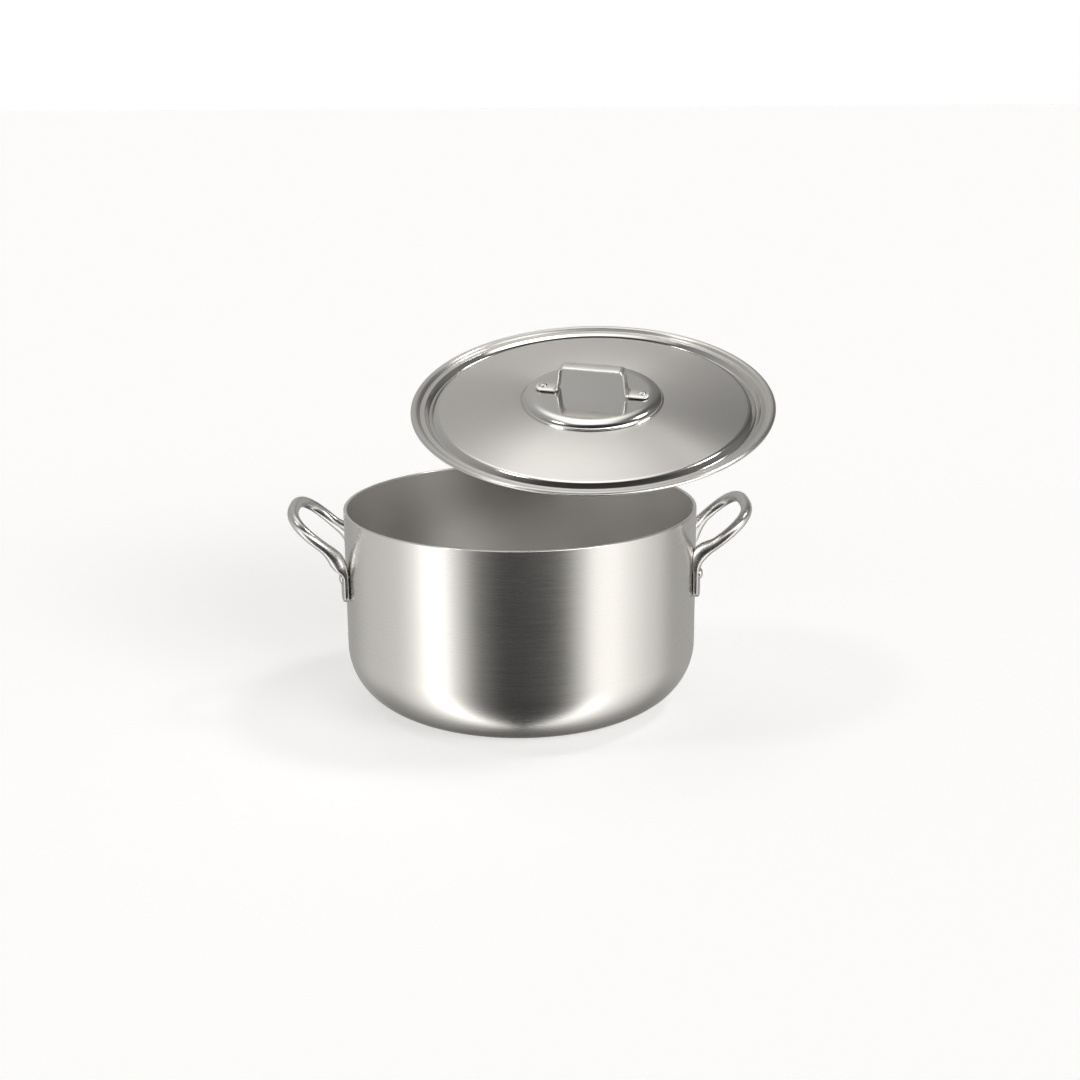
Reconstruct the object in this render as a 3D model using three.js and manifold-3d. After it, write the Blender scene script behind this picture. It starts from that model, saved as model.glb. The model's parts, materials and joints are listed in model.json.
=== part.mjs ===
// A two-handled stock pot with its lid, in millimetres, +Z up.
// The origin is the middle of the pot's flat base, on the surface that it stands on.
// The two pot handles lie along X. The lid is held above the pot, tipped, on its lifting arc.

import * as THREE from "three";
import { mergeVertices } from "three/addons/utils/BufferGeometryUtils.js";
import Module from "manifold-3d";

const wasm = await Module();
wasm.setup();

// ---- driving dimensions ----

const FIT_GAP = 0.3; // running gap between pieces that touch
const TURN_SIDES = 64; // facets round each large turned piece
const RIVET_SIDES = 14;

// pot
const POT_RADIUS = 160;
const POT_HEIGHT = 182;
const POT_WALL = 3;
const BASE_THICKNESS = 4;
const BASE_CORNER = 55; // outer radius of the curve from wall to base
const RIM_EDGE = 0.7; // broken edge of the rim

// pot handles: one bar each, bent to a loop, its two ends flattened against the wall
const BAR_DIAMETER = 10;
const BAR_SIDES = 12;
const FOOT_HALF_SPACING = 41; // from the middle of the handle to each foot
const LOOP_REACH = 59; // along the slope of the loop, from foot to outermost centre
const LOOP_FLARE = 0.3; // sideways spread of each arm for each millimetre of reach
const LOOP_TILT = 40.3; // degrees that the loop rises as it goes out
const LOOP_SQUARENESS = 2.8; // exponent of the superellipse; 2 is an ellipse
const ARM_DROP = 39.4; // height of the arms below the rim where they leave the wall
const PAD_LENGTH = 39;
const PAD_WIDTH = 17;
const PAD_THICKNESS = 5.2;
const PAD_SHOULDER = 9; // length of the upper pad, where it swells into the bar

// pot rivets, one through each foot
const RIVET_SHANK = 6;
const RIVET_HEAD = 9.5;
const RIVET_HEAD_HEIGHT = 2.6;
const RIVET_TAIL = 12;
const RIVET_TAIL_HEIGHT = 1.4;
const RIVET_RISE = 22; // above the lower end of the pad

// lid plate, measured from its seat on the rim
const LID_OVERHANG = 3; // beyond the outside of the pot
const LID_SHEET = 2;
const LID_BEAD_CROWN = 0.8; // the outer ring, which rests on the rim, is rounded by this much
const LID_PLAY = 1; // all round, between the step under the lid and the inside of the rim
const LEDGE_STEP = 2; // from the bead down to the ledge, which sits inside the rim
const LEDGE_WIDTH = 4.6;
const GROOVE_WIDTH = 7;
const GROOVE_DEPTH = 4; // below the ledge
const SHOULDER_WIDTH = 5; // rounded step from the groove up to the dome
const SHOULDER_RISE = 0.4; // above the ledge
const DOME_RISE = 6; // from the shoulder to the foot of the boss
const BOSS_RADIUS = 63;
const BOSS_RISE = 6;
const BOSS_SHOULDER_WIDTH = 13; // the boss is rounded down from its flat top to its foot
const BOSS_SHOULDER_DROP = 5.6;

// lid handle: a flat strap bent to a bridge
const STRAP_WIDTH = 14.5;
const STRAP_THICKNESS = 2.4;
const STRAP_HEIGHT = 24.5; // from the boss to the top of the bridge
const STRAP_TOP_LENGTH = 57;
const STRAP_LEG_SPREAD = 2.5; // how far each leg leans out on its way down
const STRAP_BEND = 4; // radius of each bend, on the middle of the strap
const LID_RIVET_SPACING = 90;
const LID_RIVET_SHANK = 5;
const LID_RIVET_HEAD = 7.5;
const LID_RIVET_HEAD_HEIGHT = 1.5;

// lifting arc of the lid, as an arm carries it; the pivot is measured from the middle of the rim
const LIFT_AXIS = new THREE.Vector3(0.808, 0.004, -0.589).normalize();
const LIFT_PIVOT = new THREE.Vector3(34, -309, 44);
const LID_TURN = -3; // degrees that the lid handle is turned from the line of the pot handles
const LIFT_ANGLE = 20.5; // degrees from the seat to the place where the lid is held

// ---- materials ----

const satinAluminium = { color: 0xb9b5ae, roughness: 0.42, metalness: 1 };
const polishedSteel = { color: 0xd2d0cc, roughness: 0.12, metalness: 1 };

// ---- geometry helpers ----

// A closed mesh with shared corners, ready for joins and cuts.
function toSolid(geometry) {
  const bare = geometry.clone();
  bare.deleteAttribute("normal");
  bare.deleteAttribute("uv");
  const welded = mergeVertices(bare);
  const corners = welded.index.array;
  const kept = [];
  for (let i = 0; i < corners.length; i += 3) {
    const [a, b, c] = [corners[i], corners[i + 1], corners[i + 2]];
    if (a !== b && b !== c && c !== a) {
      kept.push(a, b, c);
    }
  }
  return new wasm.Manifold(new wasm.Mesh({
    numProp: 3,
    vertProperties: new Float32Array(welded.attributes.position.array),
    triVerts: new Uint32Array(kept),
  }));
}

function toGeometry(solid) {
  const mesh = solid.getMesh();
  const geometry = new THREE.BufferGeometry();
  geometry.setAttribute("position", new THREE.BufferAttribute(mesh.vertProperties, 3));
  geometry.setIndex(new THREE.BufferAttribute(mesh.triVerts, 1));
  geometry.computeVertexNormals();
  return geometry;
}

function piece(name, geometry, finish) {
  const mesh = new THREE.Mesh(geometry, new THREE.MeshStandardMaterial(finish));
  mesh.name = name;
  return mesh;
}

// A profile of [radius, height] points turned about Z.
function turned(profile, sides) {
  const points = profile.map(([radius, height]) => new THREE.Vector2(radius, height));
  const geometry = new THREE.LatheGeometry(points, sides);
  return geometry.rotateX(Math.PI / 2);
}

// Points along an arc about (centreR, centreZ), from one angle to another, in degrees.
function arc(centreR, centreZ, radius, fromAngle, toAngle, steps) {
  const points = [];
  for (let i = 0; i <= steps; i += 1) {
    const angle = THREE.MathUtils.degToRad(fromAngle + ((toAngle - fromAngle) * i) / steps);
    points.push([centreR + radius * Math.cos(angle), centreZ + radius * Math.sin(angle)]);
  }
  return points;
}

// How far a round wall falls away from its tangent at a given half width.
function sagitta(radius, halfWidth) {
  return radius - Math.sqrt(radius * radius - halfWidth * halfWidth);
}

// How far the flat of a facet lies inside the circle that its corners are on.
function facetDip(radius) {
  return radius * (1 - Math.cos(Math.PI / TURN_SIDES));
}

// A cylinder along Z between two heights.
function roundBar(radius, fromZ, toZ, sides) {
  const profile = [[0, fromZ], [radius, fromZ], [radius, toZ], [0, toZ]];
  return turned(profile, sides);
}

// Turns a piece made along Z so that its Z points outward from the pot at an azimuth,
// and puts its origin at a radius and a height.
function faceOutward(geometry, azimuth, radius, height) {
  geometry.rotateY(Math.PI / 2);
  geometry.translate(radius, 0, height);
  return geometry.rotateZ(azimuth);
}

// ---- sizes that follow from the driving dimensions ----

const footAzimuth = Math.asin(FOOT_HALF_SPACING / (POT_RADIUS + PAD_THICKNESS / 2));
const armHeight = POT_HEIGHT - ARM_DROP;
const padLow = armHeight - PAD_LENGTH;
const rivetHeight = padLow + RIVET_RISE;
const rivetHole = RIVET_SHANK / 2 + FIT_GAP;
const padInside = POT_RADIUS + FIT_GAP;
const padOutside = padInside + PAD_THICKNESS;

// ---- pot ----

function potShell() {
  const innerCorner = BASE_CORNER - POT_WALL;
  const outerWall = arc(POT_RADIUS - BASE_CORNER, BASE_CORNER, BASE_CORNER, -90, 0, 8);
  const innerWall = arc(POT_RADIUS - BASE_CORNER, BASE_THICKNESS + innerCorner, innerCorner, 0, -90, 8);
  const profile = [
    [0, 0],
    ...outerWall,
    [POT_RADIUS, POT_HEIGHT - RIM_EDGE],
    [POT_RADIUS - RIM_EDGE, POT_HEIGHT],
    [POT_RADIUS - POT_WALL + RIM_EDGE, POT_HEIGHT],
    [POT_RADIUS - POT_WALL, POT_HEIGHT - RIM_EDGE],
    ...innerWall,
    [0, BASE_THICKNESS],
  ];
  let shell = toSolid(turned(profile, TURN_SIDES));
  for (const side of [0, Math.PI]) {
    for (const foot of [-footAzimuth, footAzimuth]) {
      const hole = roundBar(rivetHole, -2 * POT_WALL, 2 * POT_WALL, RIVET_SIDES);
      shell = shell.subtract(toSolid(faceOutward(hole, side + foot, POT_RADIUS, rivetHeight)));
    }
  }
  return toGeometry(shell);
}

// The middle line of a handle's bar, for the handle on the +X side. It comes up one pad,
// bends away from the wall, goes round the loop and comes down the other pad.
class HandleLine extends THREE.Curve {
  getPoint(share, target = new THREE.Vector3()) {
    const angle = Math.PI * (share - 0.5);
    const power = 2 / LOOP_SQUARENESS;
    const along = LOOP_REACH * Math.max(Math.cos(angle), 0) ** power;
    const halfWidth = FOOT_HALF_SPACING + LOOP_FLARE * along;
    const across = Math.sign(angle) * halfWidth * Math.abs(Math.sin(angle)) ** power;
    const tilt = THREE.MathUtils.degToRad(LOOP_TILT);
    const footing = (POT_RADIUS + BAR_DIAMETER / 2) * Math.cos(footAzimuth);
    return target.set(footing + along * Math.cos(tilt), across, armHeight + along * Math.sin(tilt));
  }
}

// One arm's bend, from the slope of the loop down into its pad.
function armBend(foot) {
  const radius = POT_RADIUS + BAR_DIAMETER / 2;
  const middle = new THREE.Vector3(radius * Math.cos(foot), radius * Math.sin(foot), armHeight);
  const tilt = THREE.MathUtils.degToRad(LOOP_TILT);
  const start = middle.clone();
  start.x += PAD_SHOULDER * Math.cos(tilt);
  start.z += PAD_SHOULDER * Math.sin(tilt);
  const end = middle.clone();
  const sink = BAR_DIAMETER / 2 - PAD_THICKNESS / 2;
  end.x -= sink * Math.cos(foot);
  end.y -= sink * Math.sin(foot);
  end.z -= 1.2 * PAD_SHOULDER;
  return new THREE.QuadraticBezierCurve3(start, middle, end);
}

function barAlong(path, steps) {
  const section = new THREE.Shape();
  section.absarc(0, 0, BAR_DIAMETER / 2, 0, 2 * Math.PI);
  return new THREE.ExtrudeGeometry(section, {
    steps,
    extrudePath: path,
    curveSegments: BAR_SIDES / 2,
    bevelEnabled: false,
  });
}

// A flattened foot: a plate with a round lower end, curved to the wall and swelling upward.
function handlePad(foot) {
  const half = PAD_WIDTH / 2;
  const outline = new THREE.Shape();
  outline.moveTo(half, armHeight);
  outline.lineTo(-half, armHeight);
  outline.lineTo(-half, padLow + half);
  outline.absarc(0, padLow + half, half, Math.PI, 2 * Math.PI);
  const depth = 2 * BAR_DIAMETER;
  const block = new THREE.ExtrudeGeometry(outline, { depth, curveSegments: 8, bevelEnabled: false });
  block.rotateX(Math.PI / 2);
  block.rotateZ(Math.PI / 2);
  block.translate(POT_RADIUS - BAR_DIAMETER / 2, 0, 0);
  block.rotateZ(foot);
  const skin = turned([
    [padInside, padLow - 1],
    [padOutside, padLow - 1],
    [padOutside, armHeight - 1.3 * PAD_SHOULDER],
    [padInside + 0.8 * BAR_DIAMETER, armHeight],
    [padInside, armHeight],
    [padInside, padLow - 1],
  ], TURN_SIDES);
  return toSolid(block).intersect(toSolid(skin));
}

function handleLoop() {
  let loop = toSolid(barAlong(new HandleLine(), 40));
  for (const foot of [-footAzimuth, footAzimuth]) {
    loop = loop.add(toSolid(barAlong(armBend(foot), 6)));
    loop = loop.add(handlePad(foot));
  }
  const wall = roundBar(padInside, 0, 2 * POT_HEIGHT, TURN_SIDES);
  loop = loop.subtract(toSolid(wall));
  for (const foot of [-footAzimuth, footAzimuth]) {
    const hole = roundBar(rivetHole, -BAR_DIAMETER, BAR_DIAMETER, RIVET_SIDES);
    loop = loop.subtract(toSolid(faceOutward(hole, foot, POT_RADIUS, rivetHeight)));
  }
  return toGeometry(loop);
}

// A rivet through a pad and the wall. Its Z is the way out of the pot and its origin is
// on the outer face of the wall.
function potRivet() {
  const headSeat = PAD_THICKNESS + 2 * FIT_GAP;
  const inside = POT_RADIUS - POT_WALL;
  const tailSeat = -POT_WALL - FIT_GAP - sagitta(inside, RIVET_TAIL / 2) - facetDip(inside);
  const head = RIVET_HEAD / 2;
  const tail = RIVET_TAIL / 2;
  return turned([
    [0, tailSeat - RIVET_TAIL_HEIGHT],
    [0.7 * tail, tailSeat - RIVET_TAIL_HEIGHT],
    [tail, tailSeat - 0.3 * RIVET_TAIL_HEIGHT],
    [tail, tailSeat],
    [RIVET_SHANK / 2, tailSeat],
    [RIVET_SHANK / 2, headSeat],
    [head, headSeat],
    [0.92 * head, headSeat + 0.45 * RIVET_HEAD_HEIGHT],
    [0.6 * head, headSeat + 0.86 * RIVET_HEAD_HEIGHT],
    [0, headSeat + RIVET_HEAD_HEIGHT],
  ], RIVET_SIDES);
}

// ---- lid ----

const lidRadius = POT_RADIUS + LID_OVERHANG;
const ledgeTop = LID_SHEET - LEDGE_STEP;
const seatInner = POT_RADIUS - POT_WALL - LID_PLAY; // where the underside steps down into the pot
const ledgeOuter = seatInner - 0.6 * LEDGE_STEP;
const grooveOuter = ledgeOuter - LEDGE_WIDTH;
const shoulderTop = ledgeTop + SHOULDER_RISE;
const domeTop = shoulderTop + DOME_RISE;
const bossTop = domeTop + BOSS_RISE;
const lidRivetX = LID_RIVET_SPACING / 2;

// The upper face of the lid plate from its outer edge to the middle, as [radius, height].
function lidUpperFace() {
  const beadInner = seatInner + 0.4;
  const beadMiddle = (lidRadius + beadInner) / 2;
  const grooveInner = grooveOuter - GROOVE_WIDTH;
  const domeOuter = grooveInner - SHOULDER_WIDTH;
  const grooveFloor = ledgeTop - GROOVE_DEPTH;
  const dome = [];
  for (let i = 1; i < 6; i += 1) {
    const share = i / 6;
    const radius = domeOuter + (BOSS_RADIUS - domeOuter) * share;
    dome.push([radius, shoulderTop + DOME_RISE * Math.sin((Math.PI / 2) * share)]);
  }
  const shoulder = [];
  for (let i = 0; i <= 5; i += 1) {
    const angle = (Math.PI / 2) * (i / 5);
    shoulder.push([
      BOSS_RADIUS - BOSS_SHOULDER_WIDTH * (1 - Math.cos(angle)),
      bossTop - BOSS_SHOULDER_DROP * (1 - Math.sin(angle)),
    ]);
  }
  return [
    [lidRadius, 0.5 * LID_SHEET],
    [lidRadius - 0.7, LID_SHEET],
    [beadMiddle, LID_SHEET + LID_BEAD_CROWN],
    [beadInner, LID_SHEET],
    [ledgeOuter, ledgeTop],
    [grooveOuter, ledgeTop],
    [grooveOuter - 0.4 * GROOVE_WIDTH, grooveFloor],
    [grooveOuter - 0.7 * GROOVE_WIDTH, grooveFloor],
    [grooveInner, ledgeTop - 0.5 * GROOVE_DEPTH],
    [grooveInner - 0.5 * SHOULDER_WIDTH, ledgeTop],
    [domeOuter, shoulderTop],
    ...dome,
    [BOSS_RADIUS + 0.4, domeTop],
    ...shoulder,
    [0, bossTop],
  ];
}

// The sheet has the same thickness everywhere: each lower point lies square to the upper face.
function lidLowerFace(upper) {
  return upper.map(([radius, height], i) => {
    const before = upper[Math.max(i - 1, 0)];
    const after = upper[Math.min(i + 1, upper.length - 1)];
    const run = after[0] - before[0];
    const rise = after[1] - before[1];
    const length = Math.hypot(run, rise);
    return [Math.max(radius - (LID_SHEET * -rise) / length, 0), height + (LID_SHEET * run) / length];
  });
}

function lidPlate() {
  const upper = lidUpperFace();
  const lower = lidLowerFace(upper.slice(4));
  const profile = [
    ...lower.reverse(),
    [seatInner, 0],
    [lidRadius - 0.7, 0],
    ...upper,
  ];
  let plate = toSolid(turned(profile, TURN_SIDES));
  for (const x of [-lidRivetX, lidRivetX]) {
    const hole = roundBar(LID_RIVET_SHANK / 2 + FIT_GAP, domeTop - LID_SHEET, bossTop + 1, RIVET_SIDES);
    plate = plate.subtract(toSolid(hole.translate(x, 0, 0)));
  }
  return toGeometry(plate);
}

// The middle line of the strap in side view, from one foot over the bridge to the other.
function strapLine() {
  const footEnd = lidRivetX + STRAP_WIDTH / 2;
  const footLevel = STRAP_THICKNESS / 2;
  const topLevel = STRAP_HEIGHT - STRAP_THICKNESS / 2;
  const corners = [
    new THREE.Vector2(-footEnd, footLevel),
    new THREE.Vector2(-STRAP_TOP_LENGTH / 2 - STRAP_LEG_SPREAD, footLevel),
    new THREE.Vector2(-STRAP_TOP_LENGTH / 2, topLevel),
    new THREE.Vector2(STRAP_TOP_LENGTH / 2, topLevel),
    new THREE.Vector2(STRAP_TOP_LENGTH / 2 + STRAP_LEG_SPREAD, footLevel),
    new THREE.Vector2(footEnd, footLevel),
  ];
  const points = [corners[0]];
  for (let i = 1; i < corners.length - 1; i += 1) {
    const into = corners[i].clone().sub(corners[i - 1]).normalize();
    const away = corners[i + 1].clone().sub(corners[i]).normalize();
    const start = corners[i].clone().addScaledVector(into, -STRAP_BEND);
    const end = corners[i].clone().addScaledVector(away, STRAP_BEND);
    points.push(...new THREE.QuadraticBezierCurve(start, corners[i], end).getPoints(4));
  }
  points.push(corners[corners.length - 1]);
  return points;
}

function lidHandle() {
  const line = strapLine();
  const upper = [];
  const lower = [];
  line.forEach((point, i) => {
    const before = line[Math.max(i - 1, 0)];
    const after = line[Math.min(i + 1, line.length - 1)];
    const normal = after.clone().sub(before).normalize().rotateAround(new THREE.Vector2(), Math.PI / 2);
    upper.push(point.clone().addScaledVector(normal, STRAP_THICKNESS / 2));
    lower.push(point.clone().addScaledVector(normal, -STRAP_THICKNESS / 2));
  });
  const side = new THREE.Shape([...lower, ...upper.reverse()]);
  const strap = new THREE.ExtrudeGeometry(side, { depth: 2 * STRAP_WIDTH, bevelEnabled: false });
  strap.rotateX(Math.PI / 2);
  strap.translate(0, STRAP_WIDTH, 0);

  const half = STRAP_WIDTH / 2;
  const plan = new THREE.Shape();
  plan.moveTo(-lidRivetX, -half);
  plan.lineTo(lidRivetX, -half);
  plan.absarc(lidRivetX, 0, half, -Math.PI / 2, Math.PI / 2);
  plan.lineTo(-lidRivetX, half);
  plan.absarc(-lidRivetX, 0, half, Math.PI / 2, 1.5 * Math.PI);
  const outline = new THREE.ExtrudeGeometry(plan, {
    depth: 2 * STRAP_HEIGHT,
    curveSegments: 8,
    bevelEnabled: false,
  });
  outline.translate(0, 0, -STRAP_HEIGHT / 2);

  let handle = toSolid(strap).intersect(toSolid(outline));
  for (const x of [-lidRivetX, lidRivetX]) {
    const hole = roundBar(LID_RIVET_SHANK / 2 + FIT_GAP, -1, STRAP_THICKNESS + 1, RIVET_SIDES);
    handle = handle.subtract(toSolid(hole.translate(x, 0, 0)));
  }
  return toGeometry(handle);
}

// A rivet through a strap foot and the boss. Its origin is on the upper face of the boss.
function lidRivet() {
  const headSeat = STRAP_THICKNESS + 2 * FIT_GAP;
  const tailSeat = -LID_SHEET - FIT_GAP;
  const head = LID_RIVET_HEAD / 2;
  return turned([
    [0, tailSeat - LID_RIVET_HEAD_HEIGHT],
    [0.7 * head, tailSeat - 0.8 * LID_RIVET_HEAD_HEIGHT],
    [head, tailSeat],
    [LID_RIVET_SHANK / 2, tailSeat],
    [LID_RIVET_SHANK / 2, headSeat],
    [head, headSeat],
    [0.75 * head, headSeat + 0.7 * LID_RIVET_HEAD_HEIGHT],
    [0, headSeat + LID_RIVET_HEAD_HEIGHT],
  ], RIVET_SIDES);
}

// ---- assembly ----

const stockPot = new THREE.Group();
stockPot.add(piece("pot_shell", potShell(), satinAluminium));

for (const [side, turn] of [["right", 0], ["left", Math.PI]]) {
  const handle = piece(`pot_handle_${side}`, handleLoop(), polishedSteel);
  handle.rotation.z = turn;
  stockPot.add(handle);
  for (const [place, foot] of [["front", -footAzimuth], ["rear", footAzimuth]]) {
    const azimuth = turn === 0 ? foot : turn - foot;
    const rivet = faceOutward(potRivet(), azimuth, POT_RADIUS, rivetHeight);
    stockPot.add(piece(`pot_rivet_${side}_${place}`, rivet, polishedSteel));
  }
}

const lid = new THREE.Group();
lid.add(piece("lid_plate", lidPlate(), satinAluminium));
const lidFittings = new THREE.Group();
lidFittings.position.z = bossTop;
const lidHandleMesh = piece("lid_handle", lidHandle(), polishedSteel);
lidHandleMesh.position.z = FIT_GAP;
lidFittings.add(lidHandleMesh);
for (const [side, x] of [["left", -lidRivetX], ["right", lidRivetX]]) {
  const rivet = piece(`lid_rivet_${side}`, lidRivet(), polishedSteel);
  rivet.position.x = x;
  lidFittings.add(rivet);
}
lid.add(lidFittings);

// The lid's own origin is the middle of its seat, so on the pot it lies just above the rim.
const lift = new THREE.Group();
lift.position.set(0, 0, POT_HEIGHT).add(LIFT_PIVOT);
lift.quaternion.setFromAxisAngle(LIFT_AXIS, THREE.MathUtils.degToRad(LIFT_ANGLE));
lid.position.set(0, 0, FIT_GAP).sub(LIFT_PIVOT);
lid.rotation.z = THREE.MathUtils.degToRad(LID_TURN);
lift.add(lid);
stockPot.add(lift);

export default stockPot;
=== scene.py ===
import json
import math

import bpy
import numpy as np
from mathutils import Matrix, Vector


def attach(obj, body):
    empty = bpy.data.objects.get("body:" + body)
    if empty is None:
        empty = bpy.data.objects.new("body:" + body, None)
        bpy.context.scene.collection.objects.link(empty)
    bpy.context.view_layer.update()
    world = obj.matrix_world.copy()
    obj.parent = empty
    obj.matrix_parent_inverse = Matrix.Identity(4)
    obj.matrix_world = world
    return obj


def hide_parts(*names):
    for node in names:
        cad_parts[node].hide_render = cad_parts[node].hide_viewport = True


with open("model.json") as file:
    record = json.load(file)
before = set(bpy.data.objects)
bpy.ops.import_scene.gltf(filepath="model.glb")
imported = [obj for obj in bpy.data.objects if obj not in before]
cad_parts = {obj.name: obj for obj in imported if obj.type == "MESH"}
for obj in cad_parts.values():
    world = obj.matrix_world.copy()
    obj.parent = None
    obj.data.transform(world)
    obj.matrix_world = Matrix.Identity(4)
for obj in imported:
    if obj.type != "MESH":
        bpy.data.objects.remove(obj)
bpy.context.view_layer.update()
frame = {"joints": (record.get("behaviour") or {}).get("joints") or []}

# A spun aluminium stock pot with riveted loop handles, and its pressed lid held tipped above it.
# Sizes are in millimetres, as on a drawing, and become metres where a mesh is made.

MM = 0.001
GAP = 0.3  # between pieces that touch

# pot
POT_RADIUS = 160.0
POT_HEIGHT = 182.0
POT_WALL = 3.0
BASE_THICKNESS = 4.0
BASE_CORNER = 55.0
RIM_ROUND = 0.7

# loop handles
BAR_DIAMETER = 10.0
FOOT_HALF_SPACING = 41.0
LOOP_REACH = 59.0
LOOP_FLARE = 0.3
LOOP_TILT = math.radians(40.3)
LOOP_SQUARENESS = 2.8
ARM_DROP = 39.4
PAD_LENGTH = 39.0
PAD_WIDTH = 17.0
PAD_THICKNESS = 5.2
ROOT_SWELL = 5.0  # how much deeper the bar is where it turns down into its foot

# pot rivets
POT_RIVET_SHANK = 6.0
POT_RIVET_HEAD = 9.5
POT_RIVET_HEAD_HEIGHT = 2.6
POT_RIVET_TAIL = 12.0
POT_RIVET_TAIL_HEIGHT = 1.4
POT_RIVET_RISE = 22.0

# lid plate, measured from its seat on the rim
LID_RADIUS = 163.0
LID_SHEET = 2.0
LID_BEAD_CROWN = 0.8
LID_SEAT_INNER = 156.0
LEDGE_OUTER = 154.8
LEDGE_WIDTH = 4.6
GROOVE_WIDTH = 7.0
GROOVE_DEPTH = 4.0
SHOULDER_WIDTH = 5.0
SHOULDER_RISE = 0.4
DOME_RISE = 6.0
BOSS_RADIUS = 63.0
BOSS_RISE = 6.0
BOSS_SHOULDER_WIDTH = 13.0
BOSS_SHOULDER_DROP = 5.6

# lid handle and its rivets
STRAP_WIDTH = 14.5
STRAP_FOOT_WIDTH = 16.4
STRAP_THICKNESS = 2.4
STRAP_HEIGHT = 24.5
STRAP_TOP_LENGTH = 57.0
STRAP_LEG_SPREAD = 2.5
STRAP_BEND = 4.0
LID_RIVET_SPACING = 90.0
LID_RIVET_SHANK = 5.0
LID_RIVET_HEAD = 7.5
LID_RIVET_HEAD_HEIGHT = 1.5
LID_TURN = math.radians(-3.0)

# sizes that follow
LEDGE_TOP = LID_SHEET - 2.0
SHOULDER_TOP = LEDGE_TOP + SHOULDER_RISE
DOME_TOP = SHOULDER_TOP + DOME_RISE
BOSS_TOP = DOME_TOP + BOSS_RISE
ARM_HEIGHT = POT_HEIGHT - ARM_DROP
PAD_LOW = ARM_HEIGHT - PAD_LENGTH
FOOT_AZIMUTH = math.asin(FOOT_HALF_SPACING / (POT_RADIUS + PAD_THICKNESS / 2))

STEPS_ROUND = 288


# ---------------------------------------------------------------- camera and studio

CAMERA_AZIMUTH = math.radians(-1.5)
CAMERA_ELEVATION = math.radians(15.55)
CAMERA_ROLL = math.radians(-0.38)
CAMERA_DISTANCE = 1.5
CAMERA_LENS = 54.57
CAMERA_AIM = Vector((0.0179, -0.0005, 0.1471))


def make_camera():
    data = bpy.data.cameras.new("camera")
    data.lens = CAMERA_LENS
    data.sensor_width = 36.0
    data.clip_end = 100.0
    camera = bpy.data.objects.new("camera", data)
    bpy.context.scene.collection.objects.link(camera)
    turn = Matrix.Rotation(CAMERA_AZIMUTH, 4, "Z")
    tip = Matrix.Rotation(math.pi / 2 - CAMERA_ELEVATION, 4, "X")
    roll = Matrix.Rotation(CAMERA_ROLL, 4, "Z")
    aim = turn @ tip @ roll
    camera.matrix_world = Matrix.Translation(CAMERA_AIM) @ aim @ Matrix.Translation((0, 0, CAMERA_DISTANCE))
    bpy.context.scene.camera = camera


def link_nodes(tree, *pairs):
    for output, entry in pairs:
        tree.links.new(output, entry)


def math_node(tree, operation, first, second=None, clamp=False):
    node = tree.nodes.new("ShaderNodeMath")
    node.operation = operation
    node.use_clamp = clamp
    for entry, value in zip(node.inputs, (first, second)):
        if value is None:
            continue
        if isinstance(value, (int, float)):
            entry.default_value = value
        else:
            tree.links.new(value, entry)
    return node.outputs[0]


def soft_step(tree, value, low, high, top=1.0):
    """Rises smoothly from nothing at low to top at high."""
    node = tree.nodes.new("ShaderNodeMapRange")
    node.interpolation_type = "SMOOTHSTEP"
    node.inputs["From Min"].default_value = low
    node.inputs["From Max"].default_value = high
    node.inputs["To Max"].default_value = top
    tree.links.new(value, node.inputs["Value"])
    return node.outputs[0]


def ring_of_light(tree, share, stops):
    """How bright the studio is all round, from stops of degrees and level; 0 degrees is the front."""
    node = tree.nodes.new("ShaderNodeValToRGB")
    node.color_ramp.interpolation = "EASE"
    brightest = max(level for _, level in stops)
    ramp = node.color_ramp.elements
    for degrees, level in stops[1:-1]:
        ramp.new(degrees / 360 + 0.5).color = (*[level / brightest] * 3, 1)
    ramp[0].color = ramp[-1].color = (*[stops[0][1] / brightest] * 3, 1)
    tree.links.new(share, node.inputs[0])
    return math_node(tree, "MULTIPLY", node.outputs[0], brightest)


def round_light(tree, direction, azimuth, elevation, width, level):
    """A round soft light at an azimuth from the front and an elevation, in degrees."""
    azimuth, elevation = math.radians(azimuth), math.radians(elevation)
    aim = tree.nodes.new("ShaderNodeVectorMath")
    aim.operation = "DOT_PRODUCT"
    aim.inputs[1].default_value = (
        math.cos(elevation) * math.sin(azimuth),
        -math.cos(elevation) * math.cos(azimuth),
        math.sin(elevation),
    )
    tree.links.new(direction, aim.inputs[0])
    near = math.cos(math.radians(width * 0.6))
    far = math.cos(math.radians(width * 1.2))
    return soft_step(tree, aim.outputs["Value"], far, near, level)


STUDIO_TURN = math.radians(2.0)

# level by degrees round from the front: the ground, the low walls, and what hangs above them
GROUND_LIGHT = [
    (-180, 0.10), (-120, 0.3), (-100, 0.6), (-84, 0.9), (-70, 1.4), (-64, 2.3), (-56, 2.3), (-50, 1.2),
    (-42, 0.4), (-30, 0.1), (-20, 0.03), (20, 0.03), (34, 0.15), (42, 0.8), (49, 2.1), (57, 2.1), (63, 1.3),
    (84, 0.8), (100, 0.55), (120, 0.25), (180, 0.10),
]
LOW_LIGHT = [
    (-180, 0.42), (-149, 0.40), (-115, 0.62), (-90, 0.68), (-76, 0.9), (-66, 1.6), (-54, 1.6), (-44, 0.7),
    (-30, 0.14), (-14, 0.02), (14, 0.02), (24, 0.06), (36, 0.55), (45, 1.2), (60, 1.25), (72, 1.0),
    (91, 0.74), (113, 0.42), (151, 0.42), (180, 0.42),
]
HIGH_LIGHT = [
    (-180, 0.46), (-150, 0.44), (-110, 0.40), (-80, 0.30), (-60, 0.12), (-40, 0.05), (-11, 0.04), (17, 0.04),
    (46, 0.05), (70, 0.15), (100, 0.2), (138, 0.10), (160, 0.22), (180, 0.46),
]
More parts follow.
